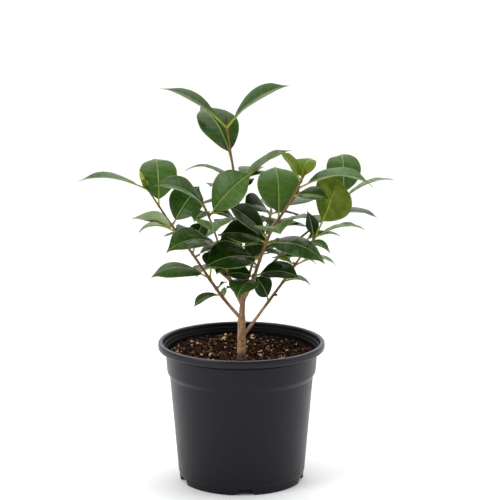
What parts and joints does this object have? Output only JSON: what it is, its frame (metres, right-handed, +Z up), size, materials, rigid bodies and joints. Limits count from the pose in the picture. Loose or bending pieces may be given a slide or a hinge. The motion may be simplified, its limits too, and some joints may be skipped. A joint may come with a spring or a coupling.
{
  "type": "potted camellia shrub",
  "caption": "Young evergreen shrub with glossy pointed leaves on slim upright branches, planted in a round tapered nursery pot filled with compost.",
  "frame": {"origin": "middle of the pot's flat underside, on the ground", "axes": "+Z up along the pot's axis, -Y towards the side seen in the picture, +X to the right of that view"},
  "size_m": [0.3187, 0.1852, 0.4063],
  "materials": {
    "pot": "black moulded plastic, slightly satin",
    "compost": "moist dark potting compost with bark chips",
    "bark": "smooth young bark, tan to reddish brown",
    "foliage": "glossy dark green leaves"
  },
  "bodies": {
    "root": {"pot": "pot", "compost": "compost", "trunk": "bark", "left_bough": "bark", "right_low_bough": "bark", "right_front_bough": "bark", "leader_bough": "bark", "back_right_bough": "bark", "right_back_bough": "bark", "back_left_bough": "bark", "left_leaves": "foliage", "right_low_leaves": "foliage", "right_front_leaves": "foliage", "leader_leaves": "foliage", "mid_left_leaves": "foliage", "back_right_leaves": "foliage", "right_back_leaves": "foliage", "back_left_leaves": "foliage"}
  },
  "joints": []
}
